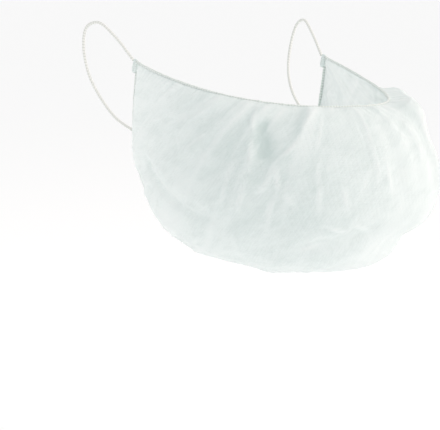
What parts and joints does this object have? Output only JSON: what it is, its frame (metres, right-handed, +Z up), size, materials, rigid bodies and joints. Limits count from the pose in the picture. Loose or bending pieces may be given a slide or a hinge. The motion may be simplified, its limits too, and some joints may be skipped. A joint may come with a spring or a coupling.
{
  "type": "beard cover",
  "caption": "Disposable nonwoven beard cover, a gathered pouch with elastic upper and lower hems and thin ear loops, shown in its worn form.",
  "frame": {"origin": "midway between the wearer's ears, level with the bonded corners in front of them", "axes": "+X to the wearer's left, +Y to the back of the head, +Z up; the face looks along -Y"},
  "size_m": [0.1658, 0.1872, 0.1445],
  "materials": {
    "nonwoven": "matte white spunbond",
    "hem": "matte rolled edge",
    "bond": "satin where pressed",
    "elastic": "matte covered elastic"
  },
  "bodies": {
    "root": {"pouch": "nonwoven", "upper_hem": "hem", "lower_hem": "hem", "corner_tab_right": "bond", "corner_tab_left": "bond", "ear_loop_right": "elastic", "ear_loop_left": "elastic"}
  },
  "joints": []
}
